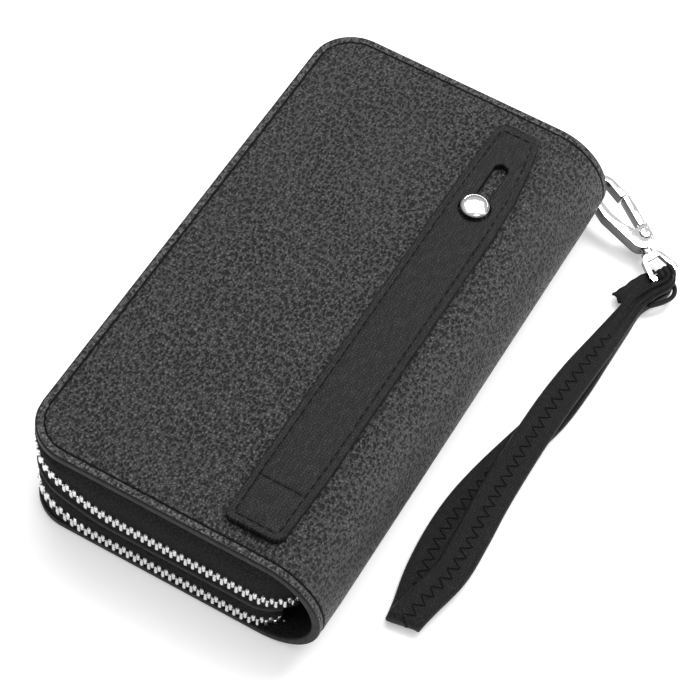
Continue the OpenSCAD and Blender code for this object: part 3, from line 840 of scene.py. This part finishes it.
def strap_piece(name, y0, y1, step, bottom):
    """One length of the strap, as a left and a right half so that the keyhole lies between them."""
    ys = strap_rows(y0, y1, step)
    across = np.array([0, 0.015, 0.035, 0.06, 0.1, 0.15, 0.2, 0.225, 0.25, 0.29, 0.4, 0.55, 0.7, 0.82,
                       0.9, 0.95, 0.98, 1.0])
    rows, count = len(ys), len(across)
    verts, faces = [], []
    for side in (0, 1):
        places = []
        for y in ys:
            inner = STRAP_CX + (hole_half(y) if side else -hole_half(y))
            outer = strap_side(y, bool(side))
            places += [(outer + (inner - outer) * t, y) for t in across]
        start = len(verts)
        low = start + rows * count
        verts += [(x, y, strap_top(x, y)) for x, y in places] + [(x, y, bottom) for x, y in places]
        faces += grid_faces(rows, count, start, flip=not side) + grid_faces(rows, count, low, flip=bool(side))
        for i in range(rows - 1):
            a, b = i * count, (i + 1) * count
            faces += bridge([start + a, start + b], [low + a, low + b], not side)
            if hole_half(ys[i]) > 0 or hole_half(ys[i + 1]) > 0:
                a, b = a + count - 1, b + count - 1
                faces += bridge([start + a, start + b], [low + a, low + b], bool(side))
        for is_end, i in ((False, 0), (True, rows - 1)):
            if (is_end and y1 < STRAP_Y1 - 0.1) or (not is_end and y0 > STRAP_Y0 + 0.1):
                continue
            edge = range(i * count, (i + 1) * count)
            faces += bridge([start + j for j in edge], [low + j for j in edge], is_end == bool(side))
    piece = make_piece(name, verts, faces, "strap", uv=[v[:2] for v in verts])
    with editing(piece.data) as bm:
        bmesh.ops.remove_doubles(bm, verts=bm.verts, dist=1e-6)
        bmesh.ops.recalc_face_normals(bm, faces=bm.faces)
    shade(piece.data, 50)
    return piece


def strap_seam(name, y0, y1, ends):
    """Stitches along both edges of the strap, and across it where asked."""
    places = np.arange(y0, y1 + 0.01, 0.7)
    lines = [[(strap_side(y, False) + SEAM_IN, y) for y in places],
             [(strap_side(y, True) - SEAM_IN, y) for y in places]]
    for y in ends:
        left, right = strap_side(y, False) + SEAM_IN + 0.5, strap_side(y, True) - SEAM_IN - 0.5
        lines.append([(x, y) for x in np.linspace(left, right, 30)])
    return sew(name, [([(x, y, strap_top(x, y) + 0.12) for x, y in line], (0, 0, 1), 2.6, 0.8, 0.26)
                      for line in lines])


def make_hand_strap():
    spans = (("near", STRAP_Y0, -45, 1.0, TOP - 0.1, ("front", "strap_near"), (-82, -64), (2.8, 0.3),
              (STRAP_Y0 + SEAM_IN, SEWN_Y), ("strap_sewn_end", "hand_strap_near")),
             ("middle", -45, 15, 1.0, STRAP_Z0, ("strap_near", "strap_far"), (-30, 0), (0.3, 0.3), (),
              ("hand_strap_far",)),
             ("tab", 15, STRAP_Y1, 0.6, STRAP_Z0, ("strap_far", "strap_tab"), (28, 43), (0.3, 2.9),
              (STRAP_Y1 - 3.2,), ("hand_strap_tab",)))
    for key, y0, y1, step, bottom, bodies, zone, margins, ends, solids in spans:
        piece = strap_piece(f"hand_strap_{key}_leather", y0, y1, step, bottom)
        seam = strap_seam(f"hand_strap_{key}_stitching", y0 + margins[0], y1 - margins[1], ends)
        for obj in (piece, seam):
            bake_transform(obj)
        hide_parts(*solids)


def make_stud():
    """Button head turned about an upright axis, from (radius, height) pairs."""
    profile = [(3.4, 0), (4.5, 0), (4.86, 0.1), (5.0, 0.45), (4.97, 0.85), (4.8, 1.2), (4.45, 1.5),
               (4.2, 1.62), (4.12, 1.6), (4.02, 1.64), (3.6, 1.85), (2.8, 2.0), (1.4, 2.07), (0.05, 2.1)]
    sides = 64
    verts = [(STUD[0] + r * c, STUD[1] + r * s, STUD_LOW[2] + z)
             for r, z in profile for c, s in circle(sides)]
    make_piece("stud_button", verts, swept_faces(len(profile), sides), "chrome", "front", sharp=30,
               node="stud_head", slot="chrome")


# ---------------------------------------------------------------- wrist loop
# Middle line of the flat strap, as in the frame: x, y, z and width, in millimetres
LOOP_ROUTE = [
    (86.4, 88.8, 3.9, 4.4), (86.7, 86.1, 2.8, 4.4), (83.9, 80.9, 2.1, 5), (80.8, 74, 1.8, 6),
    (80.2, 64, 1.6, 6.8), (79.3, 50, 1.5, 8.2), (78.2, 35, 1.5, 10), (76.4, 20, 1.5, 11.2),
    (73, 5, 1.5, 11.5), (69.6, -10, 1.5, 11.5), (67.2, -25, 1.5, 11.5), (66.7, -40, 1.5, 11.5),
    (67.9, -55, 1.5, 11.5), (70.3, -67.5, 1.5, 11.5), (71.2, -73.2, 2, 11.5), (71.5, -74.6, 3.2, 11.5),
    (71.9, -73.2, 4.5, 11.5), (73.4, -66, 4.9, 11.5), (76.2, -52, 4.8, 11.5), (76, -37, 4.7, 11.5),
    (75.1, -22, 4.6, 11.5), (74.9, -7, 4.9, 11.5), (75.1, 8, 5.4, 11.5), (75.7, 23, 5.7, 11.5),
    (76.9, 38, 5.7, 11), (78.6, 53, 5.75, 9.4), (79.9, 66, 5.8, 7.6), (81, 74.5, 6, 6.4),
    (84, 81.2, 6.8, 5.1), (87.1, 86.2, 7.6, 4.3), (86.3, 89.6, 7.05, 4.3)]
LOOP_W, LOOP_T = 11.5, 2.0
LOOP_ACROSS = np.array([0.98, 0.2, 0.0])


def smooth_route(rows, step=1.2):
    """Catmull-Rom curve through rows of numbers, at even steps."""
    rows = np.array(rows, float)
    dense = []
    for i in range(len(rows) - 1):
        p0, p1, p2, p3 = rows[max(i - 1, 0)], rows[i], rows[i + 1], rows[min(i + 2, len(rows) - 1)]
        count = max(3, int(np.linalg.norm(p2[:3] - p1[:3]) / 0.5))
        for t in np.linspace(0, 1, count, endpoint=False):
            dense.append(0.5 * (2 * p1 + (p2 - p0) * t + (2 * p0 - 5 * p1 + 4 * p2 - p3) * t * t
                                + (3 * p1 - 3 * p2 + p3 - p0) * t ** 3))
    dense = np.array(dense + [rows[-1]])
    along = lengths(dense[:, :3])
    places = np.linspace(0, along[-1], int(along[-1] / step) + 1)
    return np.stack([np.interp(places, along, column) for column in dense.T], 1), places


def band_frames(rows):
    """Directions across and up for each row of a band."""
    way = np.gradient(rows[:, :3], axis=0)
    way /= np.linalg.norm(way, axis=1)[:, None]
    flat = LOOP_ACROSS - way * (way @ LOOP_ACROSS)[:, None]
    across = flat / np.linalg.norm(flat, axis=1)[:, None]
    return across, np.cross(way, across)


def bunch(width):
    """How far the band is gathered into ridges, from its width."""
    return float(np.clip((10.5 - width) / 4.5, 0, 1))


def band_offset(a, width):
    """Height of the band's middle surface over its middle line: three ridges where it is gathered."""
    return bunch(width) * 0.75 * math.cos(2.6 * math.pi * a)


def make_wrist_strap():
    rows, along = smooth_route(LOOP_ROUTE)
    across, up = band_frames(rows)
    half_top = [0.15, 0.3, 0.45, 0.6, 0.75, 0.88, 0.96, 1]
    tops = [-a for a in half_top[::-1]] + [0] + half_top
    verts, uvs = [], []
    for row, c, u, s in zip(rows, across, up, along):
        width = row[3]
        half = LOOP_T / 2 + 0.2 * bunch(width)
        for side, order in ((1, tops), (-1, tops[::-1])):
            for a in order:
                edge = math.sqrt(max(1 - max((abs(a) - 0.8) / 0.2, 0) ** 2, 0)) * 0.75 + 0.25
                lines = -0.12 * math.exp(-((abs(a) - 0.78) / 0.05) ** 2) * (1 - bunch(width))
                h = band_offset(a, width) * min(1, 1.3 - abs(a) * 0.3) + side * (half * edge + lines)
                verts.append(row[:3] + c * a * width / 2 + u * h)
                uvs.append((s, (a * width / 2) + (14 if side < 0 else 0)))
    strap = make_piece("wrist_strap_band", verts, swept_faces(len(rows), 2 * len(tops), 0, True, True),
                       "loop", "loop", uvs, node="wrist_strap", slot="loop_leather")
    face_outward(strap.data)
    return strap, rows, along, across, up


def zigzag(rows, along, across, up, side):
    """Zigzag of thread down the middle of the band's face."""
    points = []
    pitch, reach = 4.4, 1.9
    for s in np.arange(26, along[-1] - 34, pitch / 8):
        row = at(s, along, rows)
        i = int(np.clip(np.searchsorted(along, s), 0, len(rows) - 1))
        phase = (s / pitch) % 1
        a = reach * (4 * abs(phase - 0.5) - 1) * min(1, row[3] / LOOP_W)
        on_turn = 0.05 if abs(up[i][2]) < 0.7 else 0.0
        points.append(row[:3] + across[i] * a
                      + up[i] * (side * (LOOP_T / 2 + 0.05 - on_turn) + band_offset(2 * a / row[3], row[3])))
    return tube(points, 0.27, 6)


def loop_piece(name, verts, faces, node=None):
    piece = make_piece(name, verts, faces, "loop", "loop", node=node, slot="loop_leather")
    box_uv(piece)
    return piece


def make_strap_roll():
    """The strap's end, gathered into three cords, wrapped round the bar of the swivel eye."""
    cords = []
    for shift, r in ((-2.15, 1.12), (0.0, 1.18), (2.15, 1.12)):
        turn = [EYE_BAR + V * shift + (U * math.cos(a) + W * math.sin(a)) * 2.35
                for a in np.radians(np.linspace(-150, 118, 26))]
        cords.append(tube(turn, r, 12))
    return loop_piece("strap_roll_cords", *joined(cords), "strap_roll")


def make_cut_end():
    """Cut end of the strap, folded back and frayed."""
    start = EYE_BAR - V * 1.4 - U * 1.5 - W * 1.6
    spine, _ = smooth_route([start, start + (-3.2, -5.5, -0.4), start + (-5.2, -11.5, -0.6),
                             start + (-6.6, -15.8, -0.5)], 0.8)
    verts, count = [], 14
    for i, p in enumerate(spine):
        width = 2.3 + 0.9 * i / (len(spine) - 1)
        last = i == len(spine) - 1
        for k in range(count):
            a = 2 * math.pi * k / count
            ragged = 1 + (0.22 * math.sin(k * 2.6 + 1) if last else 0.05 * math.sin(3 * a + i))
            fray = np.array([-0.5, -1.3, 0]) * (0.45 * (k % 3) if last else 0)
            verts.append(p + np.array([0.9, -0.42, 0]) * width * math.cos(a) * ragged
                         + np.array([0, 0, 1.0]) * (1.05 * math.sin(a) + 0.2 * math.sin(5 * a)) + fray)
    return loop_piece("strap_cut_end", verts, swept_faces(len(spine), count, 0, True, True))


def make_small_loop():
    """Small loop of the inner layer that stands off the outer side."""
    side = EYE_BAR + U * 2.4
    line, _ = smooth_route([side + V * 0.5, side + (3.6, -2.4, 0.2), side + (4.6, -6, 0.2),
                            side + (2.8, -10, 0.1), side + (-0.8, -14, -0.2)], 0.7)
    return loop_piece("strap_small_loop", *tube(line, 0.85))


# ---------------------------------------------------------------- clasp, ring and tab
BOW_LOW, BOW_HIGH = box_mm("d_ring")
RING_BAR = np.array([41.5, 105.3, (BOW_LOW[2] + BOW_HIGH[2]) / 2])
RING_R, RING_REACH, RING_HALF, RING_HEADING = 1.05, 8.0, 4.9, math.radians(25)
RING_WAY = np.array([math.cos(RING_HEADING), math.sin(RING_HEADING), 0])
RING_BOW = RING_BAR + RING_REACH * RING_WAY
CLASP_TURN = Matrix.Rotation(math.radians(-25), 3, "Z") @ Matrix.Rotation(math.radians(8), 3, "Y")
U, V, W = (np.array(CLASP_TURN @ Vector(axis)) for axis in ((1, 0, 0), (0, 1, 0), (0, 0, 1)))
EYE_BAR = RING_BOW + U * 39.5 - V


def make_ring():
    """Wire from the middle of the bar, out along one arm and round the bow, then mirrored."""
    bar_bend, bow_bend = 0.9, 2.5
    bow = RING_REACH - bow_bend
    bar = RING_HALF - bar_bend
    side = [(0, z) for z in np.linspace(-bar, bar, 9)]
    side += [(bar_bend * (1 - math.cos(a)), bar + bar_bend * math.sin(a))
             for a in np.linspace(0.2, math.pi / 2, 7)]
    side += [(x, RING_HALF) for x in np.linspace(1.5, bow, 6)]
    side += [(bow + bow_bend * math.sin(a), RING_HALF - bow_bend + bow_bend * math.cos(a))
             for a in np.linspace(0.15, math.pi / 2, 10)]
    wire = [RING_BAR + RING_WAY * x + (0, 0, z) for x, z in side + [(x, -z) for x, z in side[:8:-1]]]
    make_piece("d_ring_wire", *tube(wire, RING_R, 16, closed=True), "chrome", "ring", node="d_ring",
               slot="chrome")


def prism(name, outline, low, high, axis, material, body, bevel):
    """Plate with an outline in a plane, between two places on the axis across it."""
    k = len(outline)
    verts = [np.insert(point, axis, depth) for depth in (low, high) for point in outline]
    faces = [tuple(range(k)), tuple(range(k, 2 * k))[::-1]]
    faces += [(i, k + i, k + (i + 1) % k, (i + 1) % k) for i in range(k)]
    piece = make_piece(name, verts, faces, material, body)
    face_outward(piece.data)
    bevelled(piece, bevel)
    box_uv(piece)
    return piece


def make_tab():
    """Doubled leather tab folded round the ring's bar, with rows of stitches."""
    x, y, z = RING_BAR
    outline = [(x + 1.2, y - 20.8), (x + 1.2, y - 3.2)]
    outline += [(x + 2.25 * math.cos(a), y + 2.25 * math.sin(a))
                for a in np.linspace(-0.75, math.pi + 0.75, 26)]
    outline += [(x - 1.2, y - 3.2), (x - 1.2, y - 20.8)]
    tab = prism("ring_tab_leather", outline, z - 3.8, z + 3.8, 2, "strap", "back", 0.4)
    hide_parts("ring_tab")
    sew("ring_tab_stitching", [([(x + side * 1.24, t, level) for t in np.linspace(y - 12, y - 3.4, 24)],
                                (side, 0, 0), 1.9, 0.6, 0.2)
                               for side in (-1, 1) for level in (z - 2.6, z + 2.6)], "back")
    softened("tab_filler", "back", "edge", 0.25)


def make_clasp():
    solids = (("clasp_body", "clasp", 0.7, 4), ("clasp_gate", "gate", 0.45, 3),
              ("gate_pin", "clasp", 0.25, 3), ("swivel_eye", "eye", 0.55, 4))
    pieces = [softened(node, body, "chrome", width, segments)
              for node, body, width, segments in solids]
    centre = RING_BOW + U * 24 + V * 2 + W * 1.45
    coil = [centre + (U * math.cos(k * 0.45) + V * math.sin(k * 0.45)) * 1.55 + W * (-0.25 + k * 0.0125)
            for k in range(40)]
    spring = make_piece("gate_spring_coil", *tube(coil, 0.17, 8), "chrome", "clasp", node="gate_spring",
                        slot="chrome")
    return [*pieces, spring]


def make_loop_and_clasp():
    strap, rows, along, across, up = make_wrist_strap()
    threads = joined([zigzag(rows, along, across, up, side) for side in (-1, 1)])
    thread = make_piece("wrist_strap_zigzag", *threads, "thread", "loop")
    pieces = [thread, make_strap_roll(), make_cut_end(), make_small_loop(), *make_clasp()]


# ---------------------------------------------------------------- zip sliders and pulls
def capsule(length, height, nose=0.0, count=12, shift=0.0):
    """Outline of a round-ended plate, as (along, up) points."""
    r = height / 2
    half = length / 2 - r
    quarter = math.pi / 2
    left = [(shift - half + r * math.cos(a), (r - nose) * math.sin(a))
            for a in np.linspace(quarter, 3 * quarter, count)]
    return left + [(shift + half + r * math.cos(a), r * math.sin(a))
                   for a in np.linspace(-quarter, quarter, count)]


def make_slider(which, z, half_h):
    """Slider with its pull: two plates, a wedge, two lugs and a pin, then a blade in a leather grip."""
    slide, pull = f"{which}_slide_body", f"{which}_pull_body"
    low, high = box_mm(f"{which}_slider")
    x = (low[0] + high[0]) / 2
    y = HALF_L - ZIP_INSET
    gap = 1.5
    pin_y = y + gap + 2.4

    def plate(part, outline, y0, y1, body=slide, material="zip", bevel=0.3, up=0.0):
        placed = [(x + p, z + q + up) for p, q in outline]
        piece = prism(f"{which}_{part}", placed, y0, y1, 1, material, body, bevel)
        return piece

    plate("slider_inner", capsule(10, 2 * half_h, 0.5), y - gap - 1.2, y - gap)
    outer = plate("slider_outer", capsule(10, 2 * half_h, 0.5), y + gap, y + gap + 1.2)
    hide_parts(f"{which}_slider")
    plate("slider_wedge", capsule(2.6, 1.0, shift=2.8), y - gap - 0.2, y + gap + 0.2, bevel=0.1)
    for side, end in ((-1, "bottom"), (1, "top")):
        plate(f"slider_lug_{end}", capsule(3, max(half_h - 1.9, 0.9), 0, 6), y + gap + 1.1, y + gap + 3.5,
              bevel=0.15, up=side * (half_h + 1.6) / 2)
    pin = [(x, pin_y, z + t * (half_h - 0.3)) for t in (-1, 0, 1)]
    make_piece(f"{which}_slider_pin", *tube(pin, 0.55, 16), "zip", slide, sharp=40, slot="zip_metal")
    ring = [(x + 0.9 * c, pin_y + 0.9 * s, z) for c, s in circle(24)]
    verts, faces = tube(ring, 0.36, closed=True)
    verts = [(v[0], v[1], z + (v[2] - z) * 4.2) for v in verts]
    make_piece(f"{which}_pull_eye", verts, faces, "zip", pull, slot="zip_metal")
    plate("pull_neck", [(-6.2, -1.5), (-0.8, -1.3), (-0.8, 1.3), (-6.2, 1.5)], pin_y - 0.45, pin_y + 0.45,
          pull, bevel=0.2)
    blade = plate("pull_blade", capsule(14, 4.8, shift=-12), pin_y - 0.4, pin_y + 0.4, pull, bevel=0.2)
    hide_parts(f"{which}_pull")
    seams = []
    for side, name in ((-1, "inner"), (1, "outer")):
        near, far = sorted((pin_y + side * 0.42, pin_y + side * 1.2))
        grip = plate(f"grip_{name}", capsule(13, 5.2, shift=-13.5), near, far, pull, "strap", 0.25)
        if side < 0:
            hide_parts(f"{which}_pull_grip")
        seams += [([(x - 18 + t, pin_y + side * 1.22, z + level) for t in np.linspace(0, 9, 24)],
                   (0, side, 0), 1.5, 0.5, 0.15) for level in (-1.7, 1.7)]
    sew(f"{which}_grip_stitching", seams, pull)


# ---------------------------------------------------------------- linings and pockets
def lip_stitches(name, x, y0, y1, z, up, body):
    ys = np.arange(y0 + 3, y1 - 3, 0.8)
    rise = [zip_rise(x, y, DIVIDER_Z) - DIVIDER_Z if body == "divider" else 0 for y in ys]
    sew(name, [([(x, y, z + r) for y, r in zip(ys, rise)], (0, 0, up), 2.2, 0.7, 0.16)], body)


def make_interior():
    for node, body in (("back_lining", "back"), ("front_lining", "front"), ("divider_panel", "divider")):
        softened(node, body, "lining", 0.25, 2)
    for node in ("back_card_pockets", "back_bill_pocket", "divider_card_pockets", "divider_phone_pocket",
                 "front_card_pockets", "front_note_pocket"):
        softened(node, node.split("_")[0], "pocket", 0.22, 3)
    # Every card pocket has a row of stitches along its open lip
    for i in range(4):
        x, layer = -38.6 + 9 * i, i + 1
        for body, side, end, up in (("back", 0, 88, 1), ("front", 1, 88, -1), ("divider", 0, 86, 1)):
            z = box_mm(f"{body}_card_pockets")[side][2] + up * layer
            if body == "divider" and i == 3:
                continue
            near = f"{body}_lip_{i}" if body == "front" else f"{body}_lip_near_{i}"
            lip_stitches(near, x, -end, -2, z, up, body)
            if body != "front":
                lip_stitches(f"{body}_lip_far_{i}", x, 2, end, z, up, body)


# ---------------------------------------------------------------- floor and light
def make_floor():
    size = 3.0
    mesh = bpy.data.meshes.new("floor")
    corners = [(-size, -size, 0), (size, -size, 0), (size, size, 0), (-size, size, 0)]
    mesh.from_pydata(corners, [], [(0, 1, 2, 3)])
    mesh.materials.append(MATERIAL["floor"])
    floor = add_object("floor", mesh)
    floor.location.z = -0.0002


def area_light(name, place, aim, size, power):
    data = bpy.data.lights.new(name, "AREA")
    data.shape = "RECTANGLE"
    data.size, data.size_y = size
    data.energy = power
    light = add_object(name, data)
    light.location = place
    light.rotation_euler = (Vector(aim) - Vector(place)).to_track_quat("-Z", "Y").to_euler()


def make_world():
    """White surroundings that grow brighter from the horizon up."""
    world = bpy.data.worlds.new("studio")
    bpy.context.scene.world = world
    world.use_nodes = True
    nodes, links = world.node_tree.nodes, world.node_tree.links
    background = nodes["Background"]
    background.inputs["Color"].default_value = (1, 1, 1, 1)
    coordinate, split, climb = (nodes.new(f"ShaderNode{kind}")
                                for kind in ("TexCoord", "SeparateXYZ", "MapRange"))
    for number, value in enumerate((0.05, 0.75, 0.14, 0.62), 1):
        climb.inputs[number].default_value = value
    links.new(coordinate.outputs["Generated"], split.inputs[0])
    links.new(split.outputs["Z"], climb.inputs[0])
    links.new(climb.outputs[0], background.inputs["Strength"])


def make_light():
    make_world()
    area_light("far_key", (-0.2, 0.36, 1.0), (0, 0, 0), (0.8, 0.8), 7.0)
    area_light("far_right", (0.3, 0.44, 0.92), (0, 0, 0), (0.35, 0.35), 4.5)
    area_light("overhead", (0.45, -0.25, 1.0), (0, 0, 0), (0.45, 0.45), 1.5)
    area_light("spine_side", (0.95, 0.35, 0.4), (0.02, 0, 0.02), (0.35, 0.8), 0.8)
    bpy.context.scene.view_settings.view_transform = "Standard"


# ---------------------------------------------------------------- the whole wallet
make_camera()
make_loop_and_clasp()
make_covers()
make_zips()
make_hand_strap()
make_stud()
make_ring()
make_tab()
make_slider("zip1", ZIP1_Z, 3.6)
make_slider("zip2", ZIP2_Z, 2.8)
make_interior()
softened("zip1_end_stops", "divider", "zip", 0.15, 2)
softened("zip2_end_stops", "back", "zip", 0.15, 2)
softened("stud_post", "front", "chrome", 0.1, 2)
softened("stud_washer", "front", "chrome", 0.1, 2)
make_floor()
make_light()
